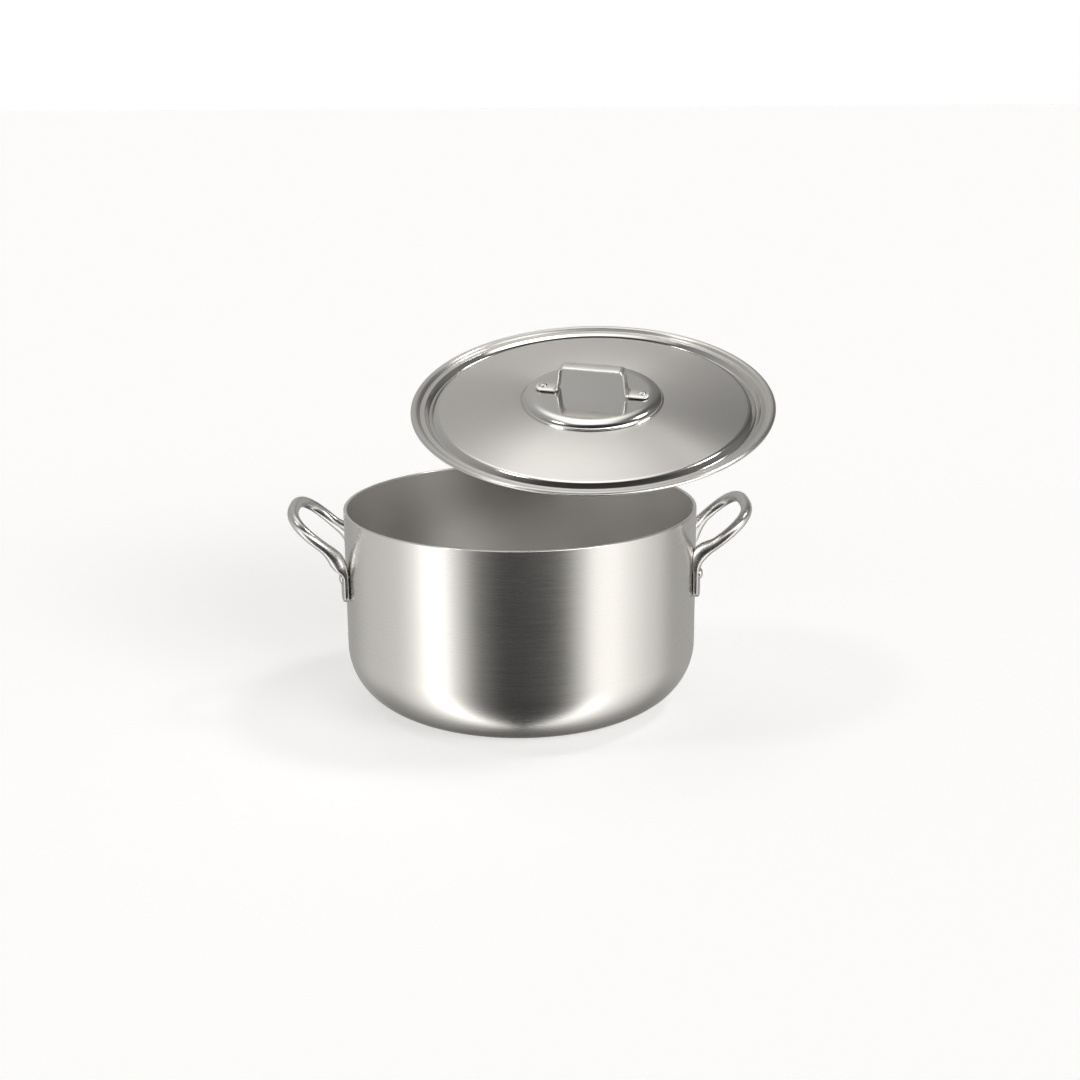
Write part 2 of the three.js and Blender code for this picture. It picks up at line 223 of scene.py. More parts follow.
WINDOW_LIGHT = [
    (-180, 0), (-70, 0), (-50, 0.7), (-30, 1.3), (-10, 1.8), (8, 2.4), (20, 4.5), (28, 6.5), (48, 6.5),
    (60, 2.0), (72, 0), (180, 0),
]

# a lamp's azimuth from the front, its elevation and its width in degrees, and its level
RIGHT_LAMP = (103.0, 58.0, 6.0, 14.0)
LEFT_LAMP = (-79.0, 62.0, 5.0, 10.0)


def make_world():
    """A soft studio: a light panel low on each side of the front with a dark gap between them,
    grey walls round the back, a wide window above the panels, dark above that at the front,
    a long panel overhead that reaches back, and a small lamp high on each side."""
    world = bpy.data.worlds.new("studio")
    bpy.context.scene.world = world
    world.use_nodes = True
    tree = world.node_tree
    tree.nodes.clear()
    direction = tree.nodes.new("ShaderNodeTexCoord").outputs["Generated"]
    split = tree.nodes.new("ShaderNodeSeparateXYZ")
    tree.links.new(direction, split.inputs[0])
    east, north, up = split.outputs
    round_angle = math_node(tree, "ARCTAN2", east, math_node(tree, "MULTIPLY", north, -1.0))
    from_front = math_node(tree, "SUBTRACT", round_angle, STUDIO_TURN)
    share = math_node(tree, "ADD", math_node(tree, "DIVIDE", from_front, 2 * math.pi), 0.5)
    walls = tree.nodes.new("ShaderNodeMix")
    levels = tree.nodes.new("ShaderNodeMix")
    link_nodes(
        tree,
        (soft_step(tree, up, -0.72, -0.42), walls.inputs["Factor"]),
        (ring_of_light(tree, share, GROUND_LIGHT), walls.inputs["A"]),
        (ring_of_light(tree, share, LOW_LIGHT), walls.inputs["B"]),
        (soft_step(tree, up, 0.12, 0.4), levels.inputs["Factor"]),
        (walls.outputs[0], levels.inputs["A"]),
        (ring_of_light(tree, share, HIGH_LIGHT), levels.inputs["B"]),
    )
    band = math_node(
        tree, "MULTIPLY",
        soft_step(tree, up, 0.2, 0.32),
        math_node(tree, "SUBTRACT", 1.0, soft_step(tree, up, 0.5, 0.62)),
    )
    window = math_node(tree, "MULTIPLY", ring_of_light(tree, share, WINDOW_LIGHT), band)
    sideways = math_node(tree, "ABSOLUTE", math_node(tree, "ADD", east, 0.03))
    across = math_node(tree, "SUBTRACT", 1.0, soft_step(tree, sideways, 0.1, 0.32))
    behind = soft_step(tree, north, -0.12, 0.08)
    panel = math_node(
        tree, "MULTIPLY",
        soft_step(tree, up, 0.74, 0.88, 1.1), math_node(tree, "MULTIPLY", across, behind),
    )
    right_lamp = round_light(tree, direction, *RIGHT_LAMP)
    left_lamp = round_light(tree, direction, *LEFT_LAMP)
    lamps = math_node(tree, "ADD", right_lamp, left_lamp)
    hung = math_node(tree, "ADD", math_node(tree, "ADD", window, panel), lamps)
    total = math_node(tree, "ADD", levels.outputs[0], hung)
    light = tree.nodes.new("ShaderNodeBackground")
    light.inputs["Color"].default_value = (1.0, 0.985, 0.965, 1)
    tree.links.new(total, light.inputs["Strength"])
    paper = tree.nodes.new("ShaderNodeBackground")
    paper.inputs["Color"].default_value = (1, 1, 1, 1)
    seen = tree.nodes.new("ShaderNodeLightPath")
    pick = tree.nodes.new("ShaderNodeMixShader")
    out = tree.nodes.new("ShaderNodeOutputWorld")
    link_nodes(
        tree,
        (seen.outputs["Is Camera Ray"], pick.inputs[0]),
        (light.outputs[0], pick.inputs[1]),
        (paper.outputs[0], pick.inputs[2]),
        (pick.outputs[0], out.inputs[0]),
    )


def floor_finish():
    """Pale matte paper. It glows a little, as a lit sweep does, so that it stays near white."""
    material = bpy.data.materials.new("floor_paper")
    material.use_nodes = True
    tree = material.node_tree
    tree.nodes.clear()
    matte = tree.nodes.new("ShaderNodeBsdfDiffuse")
    matte.inputs["Color"].default_value = (0.8, 0.8, 0.8, 1)
    glow = tree.nodes.new("ShaderNodeEmission")
    glow.inputs["Color"].default_value = (1, 1, 1, 1)
    glow.inputs["Strength"].default_value = 0.38
    both = tree.nodes.new("ShaderNodeAddShader")
    out = tree.nodes.new("ShaderNodeOutputMaterial")
    link_nodes(
        tree,
        (matte.outputs[0], both.inputs[0]),
        (glow.outputs[0], both.inputs[1]),
        (both.outputs[0], out.inputs[0]),
    )
    return material


def make_floor():
    half = 40.0
    mesh = bpy.data.meshes.new("floor")
    mesh.from_pydata(
        [(-half, -half, 0), (half, -half, 0), (half, half, 0), (-half, half, 0)], [], [(0, 1, 2, 3)],
    )
    floor = bpy.data.objects.new("floor", mesh)
    bpy.context.scene.collection.objects.link(floor)
    mesh.materials.append(floor_finish())
    floor.location.z = -0.0002
    floor.visible_glossy = False
    floor.visible_shadow = False


# ---------------------------------------------------------------- finishes

def metal(name, colour, roughness, anisotropy=0.0, rotation=0.25):
    """A bare metal with its tree, its shader node and its output, ready for grain."""
    material = bpy.data.materials.new(name)
    material.use_nodes = True
    tree = material.node_tree
    shader = tree.nodes["Principled BSDF"]
    shader.inputs["Metallic"].default_value = 1.0
    shader.inputs["Base Color"].default_value = (*colour, 1)
    shader.inputs["Roughness"].default_value = roughness
    shader.inputs["Anisotropic"].default_value = anisotropy
    shader.inputs["Anisotropic Rotation"].default_value = rotation
    return material, tree, shader


def noise(tree, vector, scale, detail=2.0, roughness=0.5):
    node = tree.nodes.new("ShaderNodeTexNoise")
    node.inputs["Scale"].default_value = scale
    node.inputs["Detail"].default_value = detail
    node.inputs["Roughness"].default_value = roughness
    tree.links.new(vector, node.inputs["Vector"])
    return node.outputs["Fac"]


def spread(tree, value, low, high):
    """Stretches a noise, which stays near a half, to run from low to high."""
    node = tree.nodes.new("ShaderNodeMapRange")
    node.inputs["From Min"].default_value = 0.3
    node.inputs["From Max"].default_value = 0.7
    node.inputs["To Min"].default_value = low
    node.inputs["To Max"].default_value = high
    tree.links.new(value, node.inputs["Value"])
    return node.outputs[0]


def turning_place(tree, length_scale, round_scale):
    """A place on a turned piece: a step along the profile, and a slow circle round the axis,
    so that a noise on it makes lines that run round the piece and never meet a seam."""
    uv = tree.nodes.new("ShaderNodeUVMap")
    uv.uv_map = "turning"
    split = tree.nodes.new("ShaderNodeSeparateXYZ")
    tree.links.new(uv.outputs[0], split.inputs[0])
    angle = math_node(tree, "MULTIPLY", split.outputs[0], 2 * math.pi)
    join = tree.nodes.new("ShaderNodeCombineXYZ")
    link_nodes(
        tree,
        (math_node(tree, "MULTIPLY", math_node(tree, "COSINE", angle), round_scale), join.inputs[0]),
        (math_node(tree, "MULTIPLY", math_node(tree, "SINE", angle), round_scale), join.inputs[1]),
        (math_node(tree, "MULTIPLY", split.outputs[1], length_scale), join.inputs[2]),
    )
    return join.outputs[0]


def tint(tree, shader, colour, value, depth):
    """Darkens and warms the colour a little where value is high."""
    node = tree.nodes.new("ShaderNodeMix")
    node.data_type = "RGBA"
    node.inputs["A"].default_value = (*colour, 1)
    node.inputs["B"].default_value = (
        colour[0] * (1 - depth),
        colour[1] * (1 - 1.05 * depth),
        colour[2] * (1 - 1.15 * depth),
        1,
    )
    link_nodes(tree, (value, node.inputs["Factor"]), (node.outputs["Result"], shader.inputs["Base Color"]))


def bump(tree, shader, height, strength, distance):
    node = tree.nodes.new("ShaderNodeBump")
    node.inputs["Strength"].default_value = strength
    node.inputs["Distance"].default_value = distance
    link_nodes(tree, (height, node.inputs["Height"]), (node.outputs[0], shader.inputs["Normal"]))


def spun_finish(name, colour, roughness, anisotropy, line_depth):
    """Satin aluminium, brushed on the lathe: fine rings, a slow change of sheen, faint handling marks."""
    material, tree, shader = metal(name, colour, roughness, anisotropy)
    tangent = tree.nodes.new("ShaderNodeTangent")
    tangent.direction_type = "UV_MAP"
    tangent.uv_map = "turning"
    tree.links.new(tangent.outputs[0], shader.inputs["Tangent"])
    fine = noise(tree, turning_place(tree, 5200.0, 5.0), 1.0, 3.0)
    broad = noise(tree, turning_place(tree, 420.0, 2.0), 1.0, 2.0)
    solid = tree.nodes.new("ShaderNodeTexCoord").outputs["Object"]
    cloud = noise(tree, solid, 9.0, 3.0)
    rings = math_node(
        tree, "ADD",
        math_node(tree, "MULTIPLY", fine, 0.6),
        math_node(tree, "MULTIPLY", broad, 0.4),
    )
    sheen = math_node(tree, "ADD", spread(tree, rings, -0.02, 0.02), spread(tree, cloud, -0.015, 0.015))
    tree.links.new(math_node(tree, "ADD", sheen, roughness), shader.inputs["Roughness"])
    tint(tree, shader, colour, spread(tree, rings, 0.0, 1.0), line_depth)
    bump(tree, shader, rings, 0.012, 0.00005)
    return material


def polished_turning(name, colour, roughness):
    """A band burnished bright on the lathe, with the faintest rings left in it."""
    material, tree, shader = metal(name, colour, roughness)
    fine = noise(tree, turning_place(tree, 3800.0, 3.0), 1.0, 2.0)
    solid = tree.nodes.new("ShaderNodeTexCoord").outputs["Object"]
    cloud = noise(tree, solid, 14.0, 3.0)
    both = math_node(tree, "ADD", spread(tree, fine, -0.02, 0.02), spread(tree, cloud, -0.015, 0.02))
    tree.links.new(math_node(tree, "ADD", both, roughness), shader.inputs["Roughness"])
    tint(tree, shader, colour, spread(tree, fine, 0.0, 1.0), 0.03)
    bump(tree, shader, fine, 0.05, 0.00003)
    return material


def buffed_steel(name, colour, roughness, wave):
    """Bar or strap buffed by hand: soft waves in the surface, hairline marks and duller patches."""
    material, tree, shader = metal(name, colour, roughness)
    solid = tree.nodes.new("ShaderNodeTexCoord").outputs["Object"]
    waves = noise(tree, solid, 55.0, 2.0)
    stretch = tree.nodes.new("ShaderNodeMapping")
    stretch.inputs["Scale"].default_value = (260.0, 260.0, 2600.0)
    tree.links.new(solid, stretch.inputs["Vector"])
    hairs = noise(tree, stretch.outputs[0], 1.0, 3.0)
    both = math_node(tree, "ADD", spread(tree, waves, -0.03, 0.04), spread(tree, hairs, -0.02, 0.03))
    tree.links.new(math_node(tree, "ADD", both, roughness), shader.inputs["Roughness"])
    tint(tree, shader, colour, spread(tree, hairs, 0.0, 1.0), 0.05)
    height = math_node(tree, "ADD", waves, math_node(tree, "MULTIPLY", hairs, 0.12))
    bump(tree, shader, height, wave, 0.0003)
    return material


ALUMINIUM = (0.80, 0.783, 0.755)
STEEL = (0.78, 0.77, 0.755)

FINISHES = {
    "wall": spun_finish("pot_satin_outside", ALUMINIUM, 0.27, 0.5, 0.02),
    "inside": spun_finish("pot_satin_inside", ALUMINIUM, 0.5, 0.8, 0.04),
    "rim": polished_turning("pot_rim_bright", (0.9, 0.89, 0.87), 0.16),
    "dome": spun_finish("lid_satin", ALUMINIUM, 0.31, 0.8, 0.035),
    "under": spun_finish("lid_satin_under", ALUMINIUM, 0.4, 0.7, 0.04),
    # The polished bands on the lid take a darker colour than the satin dome: painted shade in the groove, on
    # the rolled edge and round the foot of the boss.
    "bright": polished_turning("lid_polished_band_painted_shade", (0.74, 0.73, 0.71), 0.12),
    "boss": polished_turning("lid_boss", (0.80, 0.79, 0.765), 0.13),
    "bar": buffed_steel("handle_steel", STEEL, 0.27, 0.12),
    # The strap's steel is lighter than the handles' steel: a painted highlight for the light its top bar
    # catches.
    "strap": buffed_steel("strap_steel_painted_highlight", (0.9, 0.89, 0.87), 0.3, 0.1),
    "rivet": buffed_steel("rivet_steel", STEEL, 0.24, 0.15),
}


# ---------------------------------------------------------------- outlines

def arc(centre, radius, start, end, steps):
    """Points along an arc, angles in degrees."""
    angles = np.radians(np.linspace(start, end, steps + 1))
    return [(centre[0] + radius * math.cos(a), centre[1] + radius * math.sin(a)) for a in angles]


def straight(start, end, step=8.0, edge=0.4):
    """Points along a line, with a close pair at each end so that shading stays flat between."""
    length = math.dist(start, end)
    inner = max(int(length / step), 1)
    shares = [0.0, edge / length, *np.linspace(0, 1, inner + 1)[1:-1], 1 - edge / length, 1.0]
    return [(start[0] + (end[0] - start[0]) * s, start[1] + (end[1] - start[1]) * s) for s in sorted(shares)]


def flowing(points, steps=6):
    """A smooth line through a few points: a Catmull-Rom curve."""
    ends = [points[0], *points, points[-1]]
    line = []
    for before, start, end, after in zip(ends, ends[1:], ends[2:], ends[3:]):
        for i in range(steps):
            t = i / steps
            weights = (
                (-t + 2 * t * t - t ** 3) / 2,
                (2 - 5 * t * t + 3 * t ** 3) / 2,
                (t + 4 * t * t - 3 * t ** 3) / 2,
                (t ** 3 - t * t) / 2,
            )
            line.append(tuple(
                sum(w * p[axis] for w, p in zip(weights, (before, start, end, after))) for axis in (0, 1)
            ))
    line.append(tuple(points[-1]))
    return line


def pot_outline():
    """The shell's outline from the middle of the base outside, over the rim, to the middle inside."""
    corner_middle = POT_RADIUS - BASE_CORNER
    inner_corner = BASE_CORNER - POT_WALL
    inner_radius = POT_RADIUS - POT_WALL
    inner_floor = BASE_THICKNESS + inner_corner
    rim_middle = POT_HEIGHT - RIM_ROUND
    return [
        ("wall", straight((0, 0), (corner_middle, 0))),
        ("wall", arc((corner_middle, BASE_CORNER), BASE_CORNER, -90, 0, 32)),
        ("wall", straight((POT_RADIUS, BASE_CORNER), (POT_RADIUS, rim_middle))),
        ("rim", arc((POT_RADIUS - RIM_ROUND, rim_middle), RIM_ROUND, 0, 90, 5)),
        ("rim", straight(
            (POT_RADIUS - RIM_ROUND, POT_HEIGHT), (inner_radius + RIM_ROUND, POT_HEIGHT), edge=0.1,
        )),
        ("rim", arc((inner_radius + RIM_ROUND, rim_middle), RIM_ROUND, 90, 180, 5)),
        ("inside", straight((inner_radius, rim_middle), (inner_radius, inner_floor))),
        ("inside", arc((corner_middle, inner_floor), inner_corner, 0, -90, 32)),
        ("inside", straight((corner_middle, BASE_THICKNESS), (0, BASE_THICKNESS))),
    ]


def dome_points(outer):
    """The low dome: steep at the shoulder and level at the boss."""
    return [
        (outer + (BOSS_RADIUS - outer) * share, SHOULDER_TOP + DOME_RISE * math.sin(math.pi / 2 * share))
        for share in np.linspace(0, 1, 13)
    ]


def lid_outline():
    """The plate's outline from the middle underneath, round its edge, to the middle on top."""
    groove_outer = LEDGE_OUTER - LEDGE_WIDTH
    groove_inner = groove_outer - GROOVE_WIDTH
    groove_floor = LEDGE_TOP - GROOVE_DEPTH
    dome_outer = groove_inner - SHOULDER_WIDTH
    bead_inner = LID_SEAT_INNER + 0.4
    bead_middle = (LID_RADIUS + bead_inner) / 2
    bead_top = LID_SHEET + LID_BEAD_CROWN
    edge = LID_SHEET / 2
    flat_edge = BOSS_RADIUS - BOSS_SHOULDER_WIDTH
    shoulder = [
        (
            flat_edge + BOSS_SHOULDER_WIDTH * math.cos(angle),
            BOSS_TOP - BOSS_SHOULDER_DROP * (1 - math.sin(angle)),
        )
        for angle in np.radians(np.linspace(0, 90, 25))
    ]
    under_boss = BOSS_TOP - LID_SHEET
    under_shoulder = [
        (flat_edge, under_boss),
        (flat_edge + 0.45 * BOSS_SHOULDER_WIDTH, under_boss - 0.09 * BOSS_SHOULDER_DROP),
        (flat_edge + 0.72 * BOSS_SHOULDER_WIDTH, under_boss - 0.34 * BOSS_SHOULDER_DROP),
        (flat_edge + 0.86 * BOSS_SHOULDER_WIDTH, under_boss - 0.75 * BOSS_SHOULDER_DROP),
        (BOSS_RADIUS, DOME_TOP - LID_SHEET),
    ]
    dome = dome_points(dome_outer)
    under_dome = [(radius, height - LID_SHEET) for radius, height in dome]
    groove = [
        (groove_outer, LEDGE_TOP),
        (groove_outer - 0.25 * GROOVE_WIDTH, LEDGE_TOP - 0.62 * GROOVE_DEPTH),
        (groove_outer - 0.5 * GROOVE_WIDTH, groove_floor),
        (groove_outer - 0.72 * GROOVE_WIDTH, LEDGE_TOP - 0.93 * GROOVE_DEPTH),
        (groove_inner, LEDGE_TOP - 0.5 * GROOVE_DEPTH),
        (groove_inner - 0.5 * SHOULDER_WIDTH, LEDGE_TOP - 0.05 * GROOVE_DEPTH),
        (dome_outer, SHOULDER_TOP),
    ]
    under_groove = [
        (groove_outer + 1.2, LEDGE_TOP - LID_SHEET),
        (groove_outer - 0.08 * GROOVE_WIDTH, LEDGE_TOP - LID_SHEET - 0.6 * GROOVE_DEPTH),
        (groove_outer - 0.5 * GROOVE_WIDTH, groove_floor - LID_SHEET),
        (groove_inner, LEDGE_TOP - LID_SHEET - 0.75 * GROOVE_DEPTH),
        (dome_outer + 1.0, SHOULDER_TOP - LID_SHEET - 0.5),
    ]
    under = [
        ("under", straight((0, under_boss), (flat_edge - 0.5, under_boss))),
        ("under", flowing(under_shoulder, 5)),
        ("under", flowing(under_dome[::-1], 3)),
        ("under", flowing(under_groove[::-1], 8)),
        ("under", flowing([
            (groove_outer + 1.6, LEDGE_TOP - LID_SHEET),
            (LEDGE_OUTER - 0.2, LEDGE_TOP - LID_SHEET + 0.1),
            (LID_SEAT_INNER, 0.0),
            (LID_SEAT_INNER + 1.0, 0.0),
        ])),
        ("under", straight((LID_SEAT_INNER + 1.2, 0), (LID_RADIUS - edge, 0))),
    ]
    top = [
        # The zones marked bright are polished and coloured darker: painted shade in the groove, on the rolled
        # edge and round the foot of the boss.
        ("bright", arc((LID_RADIUS - edge, edge), edge, -90, 40, 12)),
        ("dome", flowing([
            (LID_RADIUS - 0.5, LID_SHEET),
            ((LID_RADIUS + bead_middle) / 2, LID_SHEET + 0.8 * LID_BEAD_CROWN),
            (bead_middle, bead_top),
            (bead_inner + 0.8, LID_SHEET + 0.3 * LID_BEAD_CROWN),
            (LEDGE_OUTER + 0.4, LEDGE_TOP + 0.3),
            (LEDGE_OUTER - 0.8, LEDGE_TOP),
            (groove_outer + 0.6, LEDGE_TOP),
        ])),
        ("bright", flowing(groove, 8)),
        ("dome", flowing(dome, 3)[1:]),
        ("bright", flowing([
            (BOSS_RADIUS + 0.8, DOME_TOP - 0.05),
            (BOSS_RADIUS + 0.15, DOME_TOP + 0.35),
            (BOSS_RADIUS, shoulder[0][1] + 0.1),
        ])),
        ("bright", shoulder[1:12]),
        ("boss", shoulder[12:]),
        ("boss", straight((flat_edge - 0.4, BOSS_TOP), (0, BOSS_TOP))),
    ]
    return under + top


def rivet_outline(shank, head, head_height, head_seat, tail, tail_height, tail_seat):
    """A rivet's outline along its own axis, from the middle of its tail to the middle of its head."""
    tail_face = tail_seat - tail_height
    edge = 0.12 * head_height
    return [
        ("rivet", straight((0, tail_face), (0.62 * tail, tail_face), 1.0, 0.1)),
        ("rivet", flowing([
            (0.72 * tail, tail_face + 0.04), (0.92 * tail, tail_seat - 0.6 * tail_height), (tail, tail_seat),
        ], 4)),
        ("rivet", straight((tail - 0.05, tail_seat), (shank, tail_seat), 1.0, 0.1)),
        ("rivet", straight((shank, tail_seat), (shank, head_seat), 2.0, 0.1)),
        ("rivet", straight((shank, head_seat), (head - 0.1, head_seat), 1.0, 0.1)),
        ("rivet", flowing([
            (head, head_seat + edge),
            (0.93 * head, head_seat + 0.42 * head_height),
            (0.72 * head, head_seat + 0.76 * head_height),
            (0.4 * head, head_seat + 0.95 * head_height),
            (0, head_seat + head_height),
        ], 5)),
    ]


def outline_mesh(name, outline):
    """The outline as a chain of edges in the XZ plane, which knows how far along it each point is."""
    points = []
    zones = []
    along = []
    for finish, stretch in outline:
        for point in stretch:
            if points and math.dist(points[-1], point) < 1e-3:
                continue
            along.append(along[-1] + math.dist(points[-1], point) if points else 0.0)
            points.append(point)
        zones.append((finish, along[-1]))
    mesh = bpy.data.meshes.new(name)
    mesh.from_pydata(
        [(r * MM, 0, z * MM) for r, z in points],
        [(i, i + 1) for i in range(len(points) - 1)],
        [],
    )
    mesh.attributes.new("along", "FLOAT", "POINT").data.foreach_set("value", np.array(along, np.float32) * MM)
    return mesh, zones


# ---------------------------------------------------------------- pieces grown by rules

def new_tree(name, sockets):
    """An empty geometry tree with its named inputs, and the way in and out of it."""
    tree = bpy.data.node_groups.new(name, "GeometryNodeTree")
    tree.is_modifier = True
    tree.interface.new_socket("Geometry", in_out="INPUT", socket_type="NodeSocketGeometry")
    tree.interface.new_socket("Geometry", in_out="OUTPUT", socket_type="NodeSocketGeometry")
    for label, kind in sockets:
        tree.interface.new_socket(label, in_out="INPUT", socket_type=kind)
    return tree, tree.nodes.new("NodeGroupInput"), tree.nodes.new("NodeGroupOutput")


def finish_tree(tree, way_in, way_out, geometry):
    """Realize Instances, then Set Material, which every tree here ends in."""
    real = tree.nodes.new("GeometryNodeRealizeInstances")
    coat = tree.nodes.new("GeometryNodeSetMaterial")
    link_nodes(
        tree,
        (geometry, real.inputs[0]),
        (real.outputs[0], coat.inputs["Geometry"]),
        (way_in.outputs["Finish"], coat.inputs["Material"]),
        (coat.outputs[0], way_out.inputs[0]),
    )


def turning_tree():
    """Turns an outline about Z: a sheet of cells, as many rows as the outline has points, whose
    rows take the outline's places and whose columns go round. It is welded at its seam and poles."""
    tree, way_in, way_out = new_tree(
        "turn_outline", [("Steps Round", "NodeSocketInt"), ("Finish", "NodeSocketMaterial")],
    )
    count = tree.nodes.new("GeometryNodeAttributeDomainSize")
    sheet = tree.nodes.new("GeometryNodeMeshGrid")
    link_nodes(
        tree,
        (way_in.outputs["Geometry"], count.inputs[0]),
        (math_node(tree, "ADD", way_in.outputs["Steps Round"], 1.0), sheet.inputs["Vertices X"]),
        (count.outputs["Point Count"], sheet.inputs["Vertices Y"]),
    )
    split = tree.nodes.new("ShaderNodeSeparateXYZ")
    tree.links.new(tree.nodes.new("GeometryNodeInputPosition").outputs[0], split.inputs[0])
    share_round = math_node(tree, "ADD", split.outputs[0], 0.5)
    last_row = math_node(tree, "SUBTRACT", count.outputs["Point Count"], 1.0)
    row = math_node(
        tree, "ROUND",
        math_node(tree, "MULTIPLY", math_node(tree, "ADD", split.outputs[1], 0.5), last_row),
    )

    def at_row(kind, value):
        node = tree.nodes.new("GeometryNodeSampleIndex")
        node.data_type = kind
        link_nodes(
            tree,
            (way_in.outputs["Geometry"], node.inputs["Geometry"]),
            (value, node.inputs["Value"]),
            (row, node.inputs["Index"]),
        )
        return node.outputs[0]

    along = tree.nodes.new("GeometryNodeInputNamedAttribute")
    along.data_type = "FLOAT"
    along.inputs["Name"].default_value = "along"
    uv = tree.nodes.new("ShaderNodeCombineXYZ")
    link_nodes(tree, (share_round, uv.inputs[0]), (at_row("FLOAT", along.outputs[0]), uv.inputs[1]))
    keep = tree.nodes.new("GeometryNodeStoreNamedAttribute")
    keep.data_type = "FLOAT2"
    keep.domain = "CORNER"
    keep.inputs["Name"].default_value = "turning"
    link_nodes(tree, (sheet.outputs["Mesh"], keep.inputs["Geometry"]), (uv.outputs[0], keep.inputs["Value"]))

    place = tree.nodes.new("ShaderNodeSeparateXYZ")
    tree.links.new(
        at_row("FLOAT_VECTOR", tree.nodes.new("GeometryNodeInputPosition").outputs[0]), place.inputs[0],
    )
    angle = math_node(tree, "MULTIPLY", share_round, 2 * math.pi)
    turned = tree.nodes.new("ShaderNodeCombineXYZ")
    link_nodes(
        tree,
        (math_node(tree, "MULTIPLY", place.outputs[0], math_node(tree, "COSINE", angle)), turned.inputs[0]),
        (math_node(tree, "MULTIPLY", place.outputs[0], math_node(tree, "SINE", angle)), turned.inputs[1]),
        (place.outputs[2], turned.inputs[2]),
    )
    move = tree.nodes.new("GeometryNodeSetPosition")
    weld = tree.nodes.new("GeometryNodeMergeByDistance")
    weld.inputs["Distance"].default_value = 1e-6
    smooth = tree.nodes.new("GeometryNodeSetShadeSmooth")
    link_nodes(
        tree,
        (keep.outputs[0], move.inputs["Geometry"]),
        (turned.outputs[0], move.inputs["Position"]),
        (move.outputs[0], weld.inputs["Geometry"]),
        (weld.outputs[0], smooth.inputs["Geometry"]),
    )
    finish_tree(tree, way_in, way_out, smooth.outputs[0])
    return tree


def rivet_tree():
    """Sets copies of one rivet: pairs at plus and minus an azimuth on each side of a round wall,
    or, with no wall radius, in a line along X."""
    tree, way_in, way_out = new_tree("set_rivets", [
        ("Count", "NodeSocketInt"),
        ("Wall Radius", "NodeSocketFloat"),
        ("Foot Azimuth", "NodeSocketFloat"),
        ("Height", "NodeSocketFloat"),
        ("Line Spacing", "NodeSocketFloat"),
        ("Finish", "NodeSocketMaterial"),
    ])
    index = tree.nodes.new("GeometryNodeInputIndex").outputs[0]
    pair = math_node(tree, "FLOOR", math_node(tree, "DIVIDE", index, 2.0))
    half = math_node(
        tree, "SUBTRACT",
        math_node(tree, "MULTIPLY", math_node(tree, "MODULO", index, 2.0), 2.0), 1.0,
    )
    azimuth = math_node(
        tree, "ADD",
        math_node(tree, "MULTIPLY", pair, math.pi),
        math_node(tree, "MULTIPLY", half, way_in.outputs["Foot Azimuth"]),
    )
    radius = way_in.outputs["Wall Radius"]
    shift = math_node(
        tree, "MULTIPLY",
        math_node(tree, "MULTIPLY", half, 0.5), way_in.outputs["Line Spacing"],
    )
    place = tree.nodes.new("ShaderNodeCombineXYZ")
    turn = tree.nodes.new("ShaderNodeCombineXYZ")
    link_nodes(
        tree,
        (math_node(
            tree, "ADD",
            shift, math_node(tree, "MULTIPLY", radius, math_node(tree, "COSINE", azimuth)),
        ), place.inputs[0]),
        (math_node(tree, "MULTIPLY", radius, math_node(tree, "SINE", azimuth)), place.inputs[1]),
        (way_in.outputs["Height"], place.inputs[2]),
        (azimuth, turn.inputs[2]),
    )
    points = tree.nodes.new("GeometryNodePoints")
    spin = tree.nodes.new("FunctionNodeEulerToRotation")
    copies = tree.nodes.new("GeometryNodeInstanceOnPoints")
    link_nodes(
        tree,
        (way_in.outputs["Count"], points.inputs["Count"]),
        (place.outputs[0], points.inputs["Position"]),
        (turn.outputs[0], spin.inputs[0]),
        (points.outputs[0], copies.inputs["Points"]),
        (way_in.outputs["Geometry"], copies.inputs["Instance"]),
        (spin.outputs[0], copies.inputs["Rotation"]),
    )
    finish_tree(tree, way_in, way_out, copies.outputs[0])
    return tree


def grown(name, start, tree, **inputs):
    """The plain mesh that a tree makes from a start mesh, as a new object."""
    piece = bpy.data.objects.new(name, start)
    bpy.context.scene.collection.objects.link(piece)
    maker = piece.modifiers.new(tree.name, "NODES")
    maker.node_group = tree
    wanted = {label.replace("_", " "): value for label, value in inputs.items()}
    for item in tree.interface.items_tree:
        if item.in_out == "INPUT" and item.name in wanted:
            maker[item.identifier] = wanted[item.name]
    graph = bpy.context.evaluated_depsgraph_get()
    mesh = bpy.data.meshes.new_from_object(
        piece.evaluated_get(graph), preserve_all_data_layers=True, depsgraph=graph,
    )
    piece.modifiers.remove(maker)
    piece.data = mesh
    mesh.name = name
    finishes = [finish for finish in mesh.materials if finish]
    mesh.materials.clear()
    for finish in finishes:
        mesh.materials.append(finish)
    mesh.polygons.foreach_set("material_index", np.zeros(len(mesh.polygons), np.int32))
    return piece


TURNING = turning_tree()
RIVETING = rivet_tree()


